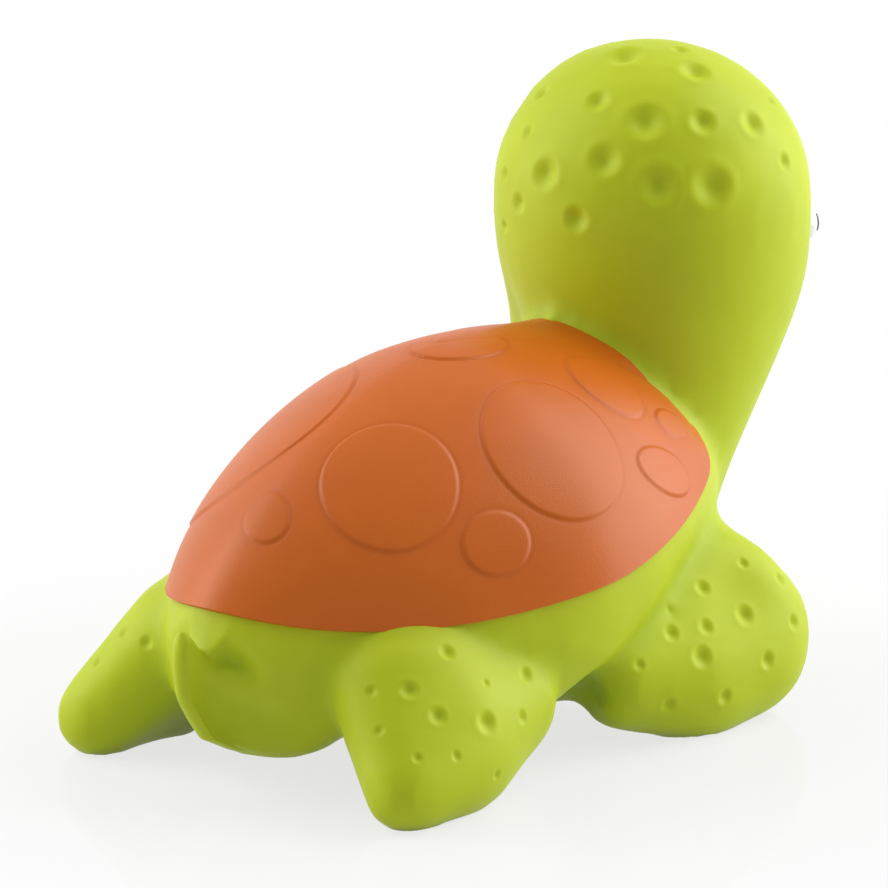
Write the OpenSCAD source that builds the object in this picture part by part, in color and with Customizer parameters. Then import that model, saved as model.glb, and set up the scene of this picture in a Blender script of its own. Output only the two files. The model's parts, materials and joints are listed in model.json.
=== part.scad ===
// Squeaky bath toy: a hollow rubber sea turtle with a moulded carapace and a reed squeaker in its belly.
// Millimetres, +Z up, facing -Y, standing on the floor under the middle of its length.

/* [Trunk] */
// Width of the trunk at its waist, the widest line
trunk_w = 62.5; // [54:0.5:70]
// Length of the trunk behind its middle
rump_l = 47; // [42:0.5:52]
// Length of the trunk ahead of its middle
chest_l = 52.5; // [47:0.5:58]
// Height of the waist above the floor, amidships
waist_h = 25; // [22:0.5:28]
// Height of the back above the waist
back_h = 27.5; // [24:0.5:32]
// Gap between the belly and the floor
belly_clear = 3.5; // [2.5:0.1:5]
// Rise of the waist toward the head, as a share of the length
rise_share = 0.128; // [0.08:0.002:0.18]
// Height where the upper skin begins to sink when the toy is squeezed
split_h = 20; // [18.5:0.5:21.5]

/* [Head] */
// Width of the head
head_w = 44; // [38:0.5:50]
// Distance from the middle of the trunk forward to the middle of the head
neck_reach = 46; // [42:0.5:52]
// Height of the widest place of the head above the floor
head_h = 67; // [60:0.5:74]
// Height of the crown above the widest place of the head
crown_h = 21; // [17:0.5:25]
// Width of the neck where it leaves the trunk
neck_w = 28; // [25:0.5:34]
// Height of the lowest full width of the neck
neck_base_h = 15; // [12:0.5:18]
// Distance from the middle of the head back to the root of the neck
neck_back = 10; // [6:0.5:14]
// Depth of the breast below the root of the neck
breast_h = 10; // [7:0.5:11]
// Reach of the snout ahead of the head
snout_out = 3; // [1:0.5:5]
// Height of the middle of the snout below the widest place of the head
snout_drop = 11; // [8:0.5:14]

/* [Flippers and tail] */
// Distance between the left and right soles
track_w = 56; // [50:0.5:62]
// Thickness of a flipper
flipper_t = 13; // [10:0.5:15]
// Length of a front flipper
front_flipper_l = 43; // [37:0.5:48]
// Height of a front flipper
front_flipper_h = 28; // [24:0.5:31]
// Distance from the middle of the trunk forward to the front flippers
front_flipper_reach = 23; // [19:0.5:27]
// Length of a rear flipper
rear_flipper_l = 39; // [34:0.5:44]
// Height of a rear flipper
rear_flipper_h = 25; // [21:0.5:28]
// Distance from the middle of the trunk back to the rear flippers
rear_flipper_reach = 24; // [20:0.5:27]
// Width of the root of the tail
tail_w = 26; // [20:0.5:32]
// Length of the tail
tail_l = 27; // [23:0.5:31]
// Height of the tip of the tail above the floor
tail_h = 23.5; // [20:0.5:25]
// Reach of the tail behind the trunk
tail_out = 4.8; // [3:0.1:6]

/* [Skin] */
// Thickness of the rubber
wall_t = 2.6; // [2:0.1:3.2]
// Gap left by the glue line or hand fit between pieces
fit_gap = 0.15; // [0.1:0.01:0.25]

/* [Carapace] */
// Thickness of the carapace
carapace_t = 2.4; // [1.8:0.1:3]
// Height of the carapace above the skin around it
carapace_proud = 0.6; // [0.3:0.1:1]
// Height of the lip of the carapace against the neck
lip_h = 0.6; // [0:0.1:1.2]
// Gap between the carapace and the neck
notch_gap = 0.4; // [0.3:0.05:0.6]

/* [Eyes] */
// Diameter of an eye
eye_d = 5.2; // [4:0.2:8]
// Height of an eye above the skin
eye_out = 2.1; // [1.4:0.1:2.6]
// Depth of the seat of an eye
eye_seat_h = 0.8; // [0.5:0.1:1]
// Distance of an eye below the widest place of the head
eye_drop = 5.5; // [3:0.5:8]
// Angle between straight ahead and an eye
eye_turn = 36; // [30:1:44]
// Diameter of a pupil
pupil_d = 2.6; // [2:0.2:4]
// Depth of the seat of a pupil at its edge
pupil_seat_h = 0.5; // [0.3:0.1:1]
// Height of a pupil above the eye around it
pupil_out = 0.15; // [0.1:0.05:0.4]

/* [Squeaker] */
// Diameter of the barrel of the case
barrel_d = 15; // [13:0.2:17]
// Height of the case
case_h = 11; // [10:0.2:12]
// Thickness of the wall of the case
case_t = 1.3; // [1:0.1:1.6]
// Thickness of the floor of the case
case_floor_t = 1.5; // [1.2:0.1:2]
// Width of the flange around the barrel
flange_out = 2; // [1.4:0.1:2.6]
// Thickness of the flange
flange_t = 1.2; // [1:0.1:1.5]
// Reach of the snap bead around the barrel
bead_out = 0.9; // [0.5:0.1:1.2]
// Height of the snap bead
bead_h = 1.6; // [1.2:0.1:2]
// Diameter of the sound hole
sound_hole_d = 3; // [2:0.2:4]
// Height of the rubber boss that grips the case
boss_h = 4.5; // [4:0.1:5.2]
// Width of the rubber boss outside the flange
boss_out = 2.5; // [2:0.1:4]
// Thickness of the cap of the lid
lid_t = 1.2; // [1:0.1:1.5]
// Depth of the plug of the lid
lid_plug_h = 2; // [1.4:0.1:2.2]
// Diameter of the air holes in the lid
air_hole_d = 1.8; // [1.2:0.1:2.2]

/* [Reed] */
// Height of the reed block
block_h = 3; // [2.6:0.1:3.4]
// Height of the land under the root of the reed
land_h = 0.5; // [0.4:0.05:0.7]
// Length of the reed
reed_l = 9; // [8:0.1:9.6]
// Width of the reed
reed_w = 3; // [2.6:0.1:3.4]
// Thickness of the reed
reed_t = 0.25; // [0.15:0.01:0.3]
// Gap around the root of the reed
reed_gap = 0.15; // [0.12:0.01:0.2]
// Length of the clamp over the reed
clamp_l = 2.6; // [2.2:0.1:3]
// Width of each leg of the clamp
clamp_leg_w = 1.4; // [1:0.1:1.6]
// Height of the bridge of the clamp above the reed
clamp_bridge_h = 1; // [0.8:0.1:1.4]

/* [Hidden] */
// Sides of the round forms
trunk_sides = 52;
head_sides = 40;
hollow_sides = 28;
pad_sides = 24;
round_sides = 64;
dome_rows = 12;
belly_rows = 8;
neck_rows = 13;
crown_rows = 8;
search_steps = 12;
neck_samples = 24;
neck_splits = 3;
// Roundness of the trunk: more than one draws an outline toward a point
rump_point = 1.26;
chest_point = 1.2;
dome_point = 1.16;
belly_point = 0.75;
// Angle of the rim of the carapace above the waist at the rump, the side and the breast
rim_rump = 17;
rim_side = 3.3;
rim_breast = 21;
// How late the rim rises on its way to the rump and to the breast
rim_rump_power = 4;
rim_breast_power = 2;
// Angles by which the seat of the carapace runs on below its rim, and into the neck
seat_drop = 0.25;
seat_dip = 6;
carapace_floor = carapace_proud - carapace_t;
seat_floor = carapace_floor - fit_gap;
seat_up = carapace_t + lip_h + fit_gap;
// How soon the neck comes upright on its way to the head
neck_lean = 1.26;
// Last angle before the point of a dome
pole_angle = 86;
// Fullness of the snout around and along the head
snout_turn_power = 3;
snout_reach_share = 0.62;
// Places along the length
face_l = max([for (i = [0 : neck_rows]) face_at(i / neck_rows)]);
overall_l = face_l + neck_reach + rump_l + tail_out;
trunk_y = overall_l / 2 - tail_out - rump_l;
head_y = trunk_y - neck_reach;
overall_h = head_h + crown_h;
overrun = overall_l;
// Pads that shape a front flipper: centre in shares of half the track, the length and the height,
// then half sizes in shares of the thickness, the length and the height
front_pad_shares = [
    [[0.66, -0.07, 0.68], [0.7, 0.32, 0.35]],
    [[0.85, 0.27, 0.34], [0.52, 0.22, 0.27]],
    [[0.95, 0, 0.29], [0.54, 0.3, 0.325]],
    [[0.98, -0.272, 0.37], [0.44, 0.235, 0.345]]];
rear_pad_shares = [
    [[0.64, 0, 0.66], [0.78, 0.37, 0.32]],
    [[0.84, -0.25, 0.43], [0.54, 0.22, 0.32]],
    [[0.92, 0.026, 0.35], [0.53, 0.28, 0.385]],
    [[0.98, 0.32, 0.2], [0.4, 0.17, 0.24]]];
// Pads that round the breast into the belly: distance ahead of the middle of the trunk and height,
// then half width, length and height
breast_pad_shares = [
    [[0.2, 0.62], [0.4, 0.3, 0.55]],
    [[0.6, 0.75], [0.33, 0.22, 0.6]]];
// Pads that shape the tail: distance from its end and height, then half width, length and height
tail_pad_shares = [
    [[0.64, 0.47], [0.54, 0.32, 0.3]],
    [[0.215, 0.56], [0.165, 0.165, 0.215]],
    [[0.1, 0.895], [0.095, 0.1, 0.105]]];
// Rows of the carapace that the lip fades over, and the angle it fades in over beside the neck
lip_rows = 3;
lip_fade = 30;
// Squeaker
squeak_y = trunk_y;
bore_d = barrel_d - 2 * case_t;
flange_d = barrel_d + 2 * flange_out;
bead_d = barrel_d + 2 * bead_out;
boss_d = flange_d + 2 * boss_out;
floor_z = belly_clear + case_floor_t;
block_z = floor_z + block_h;
land_z = block_z + land_h;
reed_z = land_z + reed_gap;
rim_z = belly_clear + case_h;
clamp_end_share = 0.85;
clamp_x = -bore_d / 2 * clamp_end_share;
clamp_mid_x = clamp_x + clamp_l / 2;
reed_x = clamp_x + reed_gap;
clamp_w = reed_w + 2 * reed_gap + 2 * clamp_leg_w;
slot_w_share = 0.62;
slot_l_share = 0.56;
slot_l = reed_l * slot_l_share;
slot_w = reed_w * slot_w_share;
slot_x = reed_x + reed_l - slot_l - slot_w / 2;
air_holes = 6;
air_ring_share = 0.6;
// Eyes
eye_z = head_h - eye_drop;
eye_r = neck_r(neck_share(eye_z));
eye_sag = eye_r - sqrt(eye_r * eye_r - eye_d * eye_d / 4);
eye_floor = eye_r - eye_sag - eye_seat_h;
eye_top = eye_r + eye_out;
eye_cap_h = eye_out + eye_sag;
eye_ball_r = (eye_d * eye_d / 4 + eye_cap_h * eye_cap_h) / (2 * eye_cap_h);
pupil_sag = eye_ball_r - sqrt(eye_ball_r * eye_ball_r - pupil_d * pupil_d / 4);
pupil_floor = eye_top - pupil_sag - pupil_seat_h;

// Curves
function ease(t) = t * t * (3 - 2 * t);
function bulge(v, power) = sign(v) * pow(abs(v), power);

// Trunk: an egg with a domed back, a flat belly and a waist that rises toward the head
function waist_at(y) = waist_h - rise_share * y;
function trunk_point(turn, tilt, grow) =
    let (
        half_l = sin(turn) > 0 ? rump_l : chest_l,
        plan = sin(turn) > 0 ? rump_point : chest_point,
        side = tilt > 0 ? dome_point : belly_point,
        across = bulge(cos(tilt), side),
        x = (trunk_w / 2 + grow) * bulge(cos(turn), plan) * across,
        y = (half_l + grow) * bulge(sin(turn), plan) * across,
        half_h = tilt > 0 ? back_h : waist_at(y) - belly_clear)
    [x, trunk_y + y, waist_at(y) + (half_h + grow) * bulge(sin(tilt), side)];

// Neck and head: round sections that lean forward and swell into the head
function neck_share(z) = (z - neck_base_h) / (head_h - neck_base_h);
function neck_z(t) = neck_base_h + t * (head_h - neck_base_h);
function neck_lag(t) = neck_back * (1 - ease(max(0, min(1, neck_lean * t))));
function neck_y(t) = head_y + neck_lag(t);
function neck_r(t) = (neck_w + (head_w - neck_w) * ease(max(0, min(1, t)))) / 2;
function head_rows(grow, n, m) = concat(
    [for (i = [-m : -1])
        let (b = pole_angle * i / m)
        [neck_base_h + (breast_h + grow) * sin(b), neck_y(0), (neck_r(0) + grow) * cos(b)]],
    [for (i = [0 : n])
        let (t = i / n)
        [neck_z(t), neck_y(t), neck_r(t) + grow]],
    [for (i = [1 : m])
        let (b = pole_angle * i / m)
        [head_h + (crown_h + grow) * sin(b), head_y, (head_w / 2 + grow) * cos(b)]]);
function snout_at(z) =
    let (u = abs(z - head_h + snout_drop) / (head_w / 2 * snout_reach_share))
    snout_out * ease(max(0, 1 - u));
function face_at(t) = neck_r(t) + snout_at(neck_z(t)) - neck_lag(t);
function head_ring(row, sides) =
    [for (j = [0 : sides - 1])
        let (turn = 360 * j / sides)
        [row[2] * cos(turn),
         row[1] + row[2] * sin(turn) - snout_at(row[0]) * pow(max(0, -sin(turn)), snout_turn_power),
         row[0]]];

// Rim of the carapace: along the waist, and up the neck where the neck comes through
function in_neck(p) = norm([p[0], p[1] - neck_y(neck_share(p[2]))]) < neck_r(neck_share(p[2])) + notch_gap;
function rim_tilt(turn) =
    sin(turn) > 0
        ? rim_side + (rim_rump - rim_side) * pow(sin(turn), rim_rump_power)
        : rim_side + (rim_breast - rim_side) * pow(-sin(turn), rim_breast_power);
function neck_edge(turn, grow, low, high, left) =
    let (mid = (low + high) / 2)
    left == 0 ? high
    : in_neck(trunk_point(turn, mid, grow)) ? neck_edge(turn, grow, mid, high, left - 1)
    : neck_edge(turn, grow, low, mid, left - 1);
function edge_tilt(turn, grow) =
    let (
        rim = rim_tilt(turn),
        step = (90 - rim) / neck_samples,
        hits = [for (i = [0 : neck_samples]) if (in_neck(trunk_point(turn, rim + i * step, grow))) i],
        low = len(hits) > 0 ? rim + max(hits) * step : rim)
    len(hits) > 0 ? neck_edge(turn, grow, low, low + step, search_steps) : rim;
function by_neck(turn) = edge_tilt(turn, carapace_proud) > rim_tilt(turn);
function lip_at(turn, row) =
    let (side = ease(min(1, (edge_tilt(turn, carapace_proud) - rim_tilt(turn)) / lip_fade)))
    row < lip_rows ? lip_h * side * (1 - ease(row / lip_rows)) : 0;

// Triangles between rings of equal length, in order from the lowest ring
function side_faces(rings, sides, first) =
    [for (i = [0 : rings - 2]) for (j = [0 : sides - 1])
        let (
            a = first + i * sides + j,
            b = first + i * sides + (j + 1) % sides)
        each [[a, a + sides, b + sides], [a, b + sides, b]]];
function cap_faces(sides, first, pole, up) =
    [for (j = [0 : sides - 1])
        let (
            a = first + j,
            b = first + (j + 1) % sides)
        up ? [pole, b, a] : [pole, a, b]];

module trunk(grow, sides) {
    tilts = concat(
        [for (i = [-belly_rows : -1]) pole_angle * i / belly_rows],
        [for (i = [0 : belly_rows]) pole_angle * i / belly_rows]);
    rings = len(tilts);
    points = concat(
        [for (tilt = tilts) for (j = [0 : sides - 1]) trunk_point(360 * j / sides, tilt, grow)],
        [trunk_point(0, -90, grow), trunk_point(0, 90, grow)]);
    polyhedron(points, concat(
        side_faces(rings, sides, 0),
        cap_faces(sides, 0, rings * sides, false),
        cap_faces(sides, (rings - 1) * sides, rings * sides + 1, true)));
}

module head(grow, sides, n, m) {
    rows = head_rows(grow, n, m);
    rings = len(rows);
    points = concat(
        [for (row = rows) each head_ring(row, sides)],
        [[0, neck_y(0), neck_base_h - breast_h - grow], [0, head_y, overall_h + grow]]);
    polyhedron(points, concat(
        side_faces(rings, sides, 0),
        cap_faces(sides, 0, rings * sides, false),
        cap_faces(sides, (rings - 1) * sides, rings * sides + 1, true)));
}

module pad(place, size) {
    translate(place) scale(size) sphere(1, $fn = pad_sides);
}

module flipper(pads, y, l, h) {
    module part(i) {
        place = pads[i][0];
        size = pads[i][1];
        pad([place[0] * track_w / 2, y + place[1] * l, place[2] * h],
            [size[0] * flipper_t, size[1] * l, size[2] * h]);
    }
    hull() {
        part(0);
        part(1);
        part(2);
    }
    hull() {
        part(0);
        part(2);
        part(3);
    }
}

module flippers() {
    flipper(front_pad_shares, trunk_y - front_flipper_reach, front_flipper_l, front_flipper_h);
    flipper(rear_pad_shares, trunk_y + rear_flipper_reach, rear_flipper_l, rear_flipper_h);
}

module breast() {
    module part(i) {
        place = breast_pad_shares[i][0];
        size = breast_pad_shares[i][1];
        pad([0, trunk_y - place[0] * chest_l, place[1] * waist_h],
            [size[0] * trunk_w, size[1] * chest_l, size[2] * waist_h]);
    }
    hull() {
        part(0);
        part(1);
    }
}

module tail() {
    module part(i) {
        place = tail_pad_shares[i][0];
        size = tail_pad_shares[i][1];
        pad([0, overall_l / 2 - place[0] * tail_l, place[1] * tail_h],
            [size[0] * tail_w, size[1] * tail_l, size[2] * tail_h]);
    }
    hull() {
        part(0);
        part(1);
    }
    hull() {
        part(1);
        part(2);
    }
}

// A dome over the back, open below and notched round the neck, grown upward and downward
module carapace_form(up, down, lip, drop, dip) {
    turns = [for (j = [0 : trunk_sides - 1])
        let (
            step = 360 / trunk_sides,
            splits = by_neck(j * step) || by_neck((j + 1) * step) ? neck_splits : 1)
        each [for (k = [0 : splits - 1]) (j + k / splits) * step]];
    sides = len(turns);
    function tilts(turn, edge) = concat(
        drop > 0 ? [max(rim_tilt(turn), edge - dip) - drop] : [],
        [for (i = [0 : dome_rows - 1]) edge + (90 - edge) * i / dome_rows]);
    rows = len(tilts(0, 0));
    function layer(face, grow, lip) =
        let (columns = [for (turn = turns) tilts(turn, edge_tilt(turn, face))])
        concat(
            [for (i = [0 : rows - 1]) for (j = [0 : sides - 1])
                trunk_point(turns[j], columns[j][i], face + grow + lip * lip_at(turns[j], i))],
            [trunk_point(0, 90, face + grow)]);
    points = concat(layer(carapace_proud, up, lip), layer(carapace_floor, -down, 0));
    next = rows * sides + 1;
    last = 2 * next - 1;
    inside = concat(side_faces(rows, sides, next), cap_faces(sides, last - sides, last, true));
    polyhedron(points, concat(
        side_faces(rows, sides, 0),
        cap_faces(sides, next - sides - 1, next - 1, true),
        [for (f = inside) [f[0], f[2], f[1]]],
        [for (j = [0 : sides - 1])
            let (
                a = j,
                b = (j + 1) % sides)
            each [[a, b, next + b], [a, next + b, next + a]]]));
}

// Places things on the head so that +Z leaves the middle of an eye
module at_eye(hand) {
    translate([0, neck_y(neck_share(eye_z)), eye_z])
        rotate([0, 0, hand * eye_turn])
            rotate([90, 0, 0]) children();
}

module skin() {
    difference() {
        union() {
            difference() {
                union() {
                    trunk(0, trunk_sides);
                    flippers();
                    mirror([1, 0, 0]) flippers();
                    breast();
                    tail();
                }
                carapace_form(seat_up, fit_gap, 0, seat_drop, seat_dip);
            }
            head(0, head_sides, neck_rows, crown_rows);
        }
        difference() {
            union() {
                trunk(seat_floor - wall_t, hollow_sides);
                head(-wall_t, hollow_sides, neck_rows, crown_rows);
            }
            translate([0, squeak_y, belly_clear]) cylinder(d = boss_d, h = boss_h, $fn = round_sides);
        }
        for (hand = [-1, 1])
            at_eye(hand) translate([0, 0, eye_floor])
                cylinder(d = eye_d + 2 * fit_gap, h = eye_r, $fn = round_sides);
        translate([0, squeak_y, 0]) {
            cylinder(d = barrel_d + 2 * fit_gap, h = belly_clear + boss_h, $fn = round_sides);
            cylinder(d = flange_d + 2 * fit_gap, h = belly_clear + flange_t, $fn = round_sides);
            translate([0, 0, belly_clear + boss_h])
                cylinder(d = bead_d + 2 * fit_gap, h = case_h, $fn = round_sides);
        }
        translate([-overrun, -overrun, -overrun]) cube([2 * overrun, 2 * overrun, overrun]);
    }
}

// Everything below the squeeze line, and the tail behind the rump
module lower_zone() {
    translate([-overrun, -overrun, 0]) cube([2 * overrun, 2 * overrun, split_h]);
    translate([-overrun, trunk_y + rump_l, 0]) cube([2 * overrun, overrun, overrun]);
}

// Belly, flippers, tail and the lower walls that fold when the toy is squeezed
module belly_skin() {
    color("#a9bd37") intersection() {
        skin();
        lower_zone();
    }
}

// Back, neck and head
module back_skin() {
    color("#a9bd37") difference() {
        skin();
        lower_zone();
    }
}

module carapace() {
    color("#c4662f") carapace_form(0, 0, 1, 0, 0);
}

module eye(hand) {
    color("#f4f4f2") at_eye(hand) difference() {
        intersection() {
            translate([0, 0, eye_top - eye_ball_r]) sphere(eye_ball_r, $fn = round_sides);
            translate([0, 0, eye_floor]) cylinder(d = eye_d, h = eye_r, $fn = round_sides);
        }
        translate([0, 0, pupil_floor]) cylinder(d = pupil_d, h = eye_r, $fn = round_sides);
    }
}

module pupil(hand) {
    color("#141414") at_eye(hand) intersection() {
        translate([0, 0, eye_top - eye_ball_r]) sphere(eye_ball_r + pupil_out, $fn = round_sides);
        translate([0, 0, pupil_floor]) cylinder(d = pupil_d, h = eye_r, $fn = round_sides);
    }
}

module left_eye() {
    eye(1);
}

module right_eye() {
    eye(-1);
}

module left_pupil() {
    pupil(1);
}

module right_pupil() {
    pupil(-1);
}

// Flanged cup with a sound hole, held in the belly between its flange and its snap bead
module squeaker_case() {
    color("#e9e9e4") translate([0, squeak_y, belly_clear]) difference() {
        union() {
            cylinder(d = flange_d, h = flange_t, $fn = round_sides);
            cylinder(d = barrel_d, h = case_h, $fn = round_sides);
            translate([0, 0, boss_h]) cylinder(d1 = bead_d, d2 = barrel_d, h = bead_h, $fn = round_sides);
        }
        translate([0, 0, case_floor_t]) cylinder(d = bore_d, h = case_h, $fn = round_sides);
        translate([0, 0, -case_floor_t]) cylinder(d = sound_hole_d, h = 3 * case_floor_t, $fn = round_sides);
    }
}

// Cap with air holes that plugs the case
module squeaker_lid() {
    color("#d8d8d2") translate([0, squeak_y, rim_z]) difference() {
        union() {
            cylinder(d = barrel_d, h = lid_t, $fn = round_sides);
            translate([0, 0, -lid_plug_h])
                cylinder(d = bore_d - 2 * fit_gap, h = lid_plug_h, $fn = round_sides);
        }
        for (i = [0 : air_holes - 1])
            rotate([0, 0, 360 * i / air_holes])
                translate([bore_d / 2 * air_ring_share, 0, -2 * lid_plug_h])
                    cylinder(d = air_hole_d, h = 4 * lid_plug_h, $fn = round_sides);
    }
}

// Disc with the air slot that the reed beats over, and a land for the root of the reed
module reed_block() {
    color("#e0e0da") translate([0, squeak_y, 0]) difference() {
        union() {
            translate([0, 0, floor_z]) cylinder(d = bore_d - 2 * fit_gap, h = block_h, $fn = round_sides);
            translate([clamp_x, -clamp_w / 2, floor_z]) cube([clamp_l, clamp_w, block_h + land_h]);
        }
        translate([slot_x, -slot_w / 2, 0]) cube([slot_l, slot_w, rim_z]);
    }
}

// Thin springy tongue
module reed() {
    color("#c8d2d6") translate([reed_x, squeak_y - reed_w / 2, reed_z]) cube([reed_l, reed_w, reed_t]);
}

// Bridge over the root of the reed
module reed_clamp() {
    color("#e9e9e4") translate([clamp_x, squeak_y, land_z]) difference() {
        translate([0, -clamp_w / 2, 0]) cube([clamp_l, clamp_w, reed_t + 2 * reed_gap + clamp_bridge_h]);
        translate([-clamp_l, -reed_w / 2 - reed_gap, -reed_gap])
            cube([3 * clamp_l, reed_w + 2 * reed_gap, reed_t + 3 * reed_gap]);
    }
}

belly_skin();
back_skin();
carapace();
left_eye();
right_eye();
left_pupil();
right_pupil();
squeaker_case();
squeaker_lid();
reed_block();
reed();
reed_clamp();
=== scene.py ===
import json
import math
import bpy
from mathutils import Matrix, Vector, bvhtree, kdtree

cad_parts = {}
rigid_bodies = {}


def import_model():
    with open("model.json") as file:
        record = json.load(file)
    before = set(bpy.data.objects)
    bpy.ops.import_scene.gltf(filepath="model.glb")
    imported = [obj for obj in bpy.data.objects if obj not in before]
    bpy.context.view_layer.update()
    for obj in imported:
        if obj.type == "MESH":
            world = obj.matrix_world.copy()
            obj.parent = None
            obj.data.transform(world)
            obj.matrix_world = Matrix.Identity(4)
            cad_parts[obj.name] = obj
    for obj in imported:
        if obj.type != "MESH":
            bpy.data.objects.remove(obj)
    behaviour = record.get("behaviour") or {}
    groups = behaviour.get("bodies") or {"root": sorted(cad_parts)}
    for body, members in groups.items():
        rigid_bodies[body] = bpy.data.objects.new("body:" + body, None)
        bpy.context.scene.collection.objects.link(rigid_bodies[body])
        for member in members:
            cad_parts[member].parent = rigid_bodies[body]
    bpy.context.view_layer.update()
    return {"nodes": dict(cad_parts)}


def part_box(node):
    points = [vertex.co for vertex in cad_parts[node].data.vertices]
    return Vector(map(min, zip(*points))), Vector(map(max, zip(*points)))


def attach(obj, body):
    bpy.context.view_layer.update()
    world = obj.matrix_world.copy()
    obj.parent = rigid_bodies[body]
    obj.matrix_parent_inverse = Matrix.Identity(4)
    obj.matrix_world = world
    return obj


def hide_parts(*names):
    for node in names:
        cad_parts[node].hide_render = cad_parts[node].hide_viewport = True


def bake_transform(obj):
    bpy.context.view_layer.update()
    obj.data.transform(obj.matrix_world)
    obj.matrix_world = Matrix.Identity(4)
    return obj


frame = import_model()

mm = 0.001
mergeGap = 0.002 * mm  # corners of a CAD mesh this near are one
passIn = 0.5           # a pass of smoothing,
passOut = -0.52        # and the longer pass out that gives the size back
relaxOut = -0.53       # the same for a whole moulding
splitRounds = 2        # passes over faces that were split
bellEnd = 2.5          # a push has faded away past this many reaches


def spot(x, y, z):
    return Vector((x, y, z)) * mm


def ease(value, low, high):
    share = min(1, max(0, (value - low) / (high - low)))
    return share * share * (3 - 2 * share)


# 0 before a stretch given in mm, and 1 past it
def fadeIn(value, stretch):
    return ease(value, stretch[0] * mm, stretch[1] * mm)


def fadeOut(value, stretch):
    return 1 - fadeIn(value, stretch)


# 1 in the middle of a push, and near 0 past bellEnd
def bell(gap):
    return math.exp(-gap * gap)


# what lies over 0, with a soft start
def softOver(over, soft, back=0.1):
    return 0.5 * (over + math.hypot(over, soft)) - back * soft


def pick(obj, *others):
    bpy.ops.object.select_all(action="DESELECT")
    for each in (obj, *others):
        each.select_set(True)
    bpy.context.view_layer.objects.active = obj


def copyNode(node, name):
    obj = bpy.data.objects.new(name, frame["nodes"][node].data.copy())
    bpy.context.scene.collection.objects.link(obj)
    pick(obj)
    bpy.ops.object.mode_set(mode="EDIT")
    bpy.ops.mesh.select_all(action="SELECT")
    bpy.ops.mesh.remove_doubles(threshold=mergeGap)
    bpy.ops.object.mode_set(mode="OBJECT")
    return obj


def addCylinder(sides, radius, depth, place=(0, 0, 0)):
    bpy.ops.object.select_all(action="DESELECT")
    bpy.ops.mesh.primitive_cylinder_add(vertices=sides, radius=radius * mm, depth=depth * mm, location=place)
    return bpy.context.object


def useModifier(obj, kind, **settings):
    pick(obj)
    modifier = obj.modifiers.new(kind.lower(), kind)
    for name, value in settings.items():
        setattr(modifier, name, value)
    bpy.ops.object.modifier_apply(modifier=modifier.name)


def chooseVerts(obj, wanted):
    pick(obj)
    bpy.ops.object.mode_set(mode="EDIT")
    bpy.ops.mesh.select_mode(type="VERT")
    bpy.ops.mesh.select_all(action="DESELECT")
    bpy.ops.object.mode_set(mode="OBJECT")
    for vert in obj.data.vertices:
        vert.select = wanted(vert)
    bpy.ops.object.mode_set(mode="EDIT")


def chooseFaces(obj, wanted):
    pick(obj)
    bpy.ops.object.mode_set(mode="EDIT")
    bpy.ops.mesh.select_mode(type="FACE")
    bpy.ops.mesh.select_all(action="DESELECT")
    bpy.ops.object.mode_set(mode="OBJECT")
    for face in obj.data.polygons:
        face.select = wanted(face)
    bpy.ops.object.mode_set(mode="EDIT")


def keepOutside(obj):
    top = max(vert.co.z for vert in obj.data.vertices)
    chooseVerts(obj, lambda vert: vert.co.z == top)
    bpy.ops.mesh.select_linked()
    bpy.ops.mesh.select_all(action="INVERT")
    bpy.ops.mesh.delete(type="VERT")
    bpy.ops.object.mode_set(mode="OBJECT")


# each pass in is followed by a slightly longer pass out, so the form keeps its size
def relax(obj, rounds):
    for turn in range(rounds):
        useModifier(obj, "SMOOTH", factor=passIn, iterations=1)
        useModifier(obj, "SMOOTH", factor=relaxOut, iterations=1)


def smoothWhere(obj, weight, rounds, keepSize=False):
    group = obj.vertex_groups.new(name="smooth")
    for vert in obj.data.vertices:
        value = weight(vert.co)
        if value > 0:
            group.add([vert.index], value, "REPLACE")
    if keepSize:
        for turn in range(rounds):
            useModifier(obj, "SMOOTH", factor=passIn, iterations=1, vertex_group="smooth")
            useModifier(obj, "SMOOTH", factor=passOut, iterations=1, vertex_group="smooth")
    else:
        useModifier(obj, "SMOOTH", factor=passIn, iterations=rounds, vertex_group="smooth")
    obj.vertex_groups.clear()


# smooths fully up to a share of the reach, and less and less from there on
def smoothAround(obj, place, reach, full, rounds, keepSize=False):
    middle = spot(*place)
    reach *= mm
    smoothWhere(obj, lambda co: 1 - ease((co - middle).length, full * reach, reach), rounds, keepSize)


def pushByWeight(obj, name, weights, depth, way="NORMAL"):
    group = obj.vertex_groups.new(name=name)
    for index, weight in weights.items():
        group.add([index], min(1, max(0, weight)), "REPLACE")
    useModifier(obj, "DISPLACE", vertex_group=name, strength=depth, mid_level=0, direction=way)
    obj.vertex_groups.clear()


def vertTree(obj):
    tree = kdtree.KDTree(len(obj.data.vertices))
    for vert in obj.data.vertices:
        tree.insert(vert.co, vert.index)
    tree.balance()
    return tree


def faceTree(obj):
    corners = [vert.co.copy() for vert in obj.data.vertices]
    return bvhtree.BVHTree.FromPolygons(corners, [face.vertices[:] for face in obj.data.polygons])


def splitFaces(obj, wanted):
    chooseFaces(obj, wanted)
    bpy.ops.mesh.subdivide(number_cuts=1, smoothness=0)
    bpy.ops.mesh.vertices_smooth(factor=passIn, repeat=splitRounds)
    bpy.ops.object.mode_set(mode="OBJECT")


# splits the faces around a list of (place, reach) and rounds what was split
def refine(obj, places):
    near = kdtree.KDTree(len(obj.data.polygons))
    for face in obj.data.polygons:
        near.insert(face.center, face.index)
    near.balance()
    wanted = {hit[1] for place, reach in places for hit in near.find_range(place, reach)}
    splitFaces(obj, lambda face: face.index in wanted)


def shadeSmooth(obj):
    pick(obj)
    bpy.ops.object.shade_smooth()


def countTriangles(obj):
    return sum(len(face.vertices) - 2 for face in obj.data.polygons)


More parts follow.
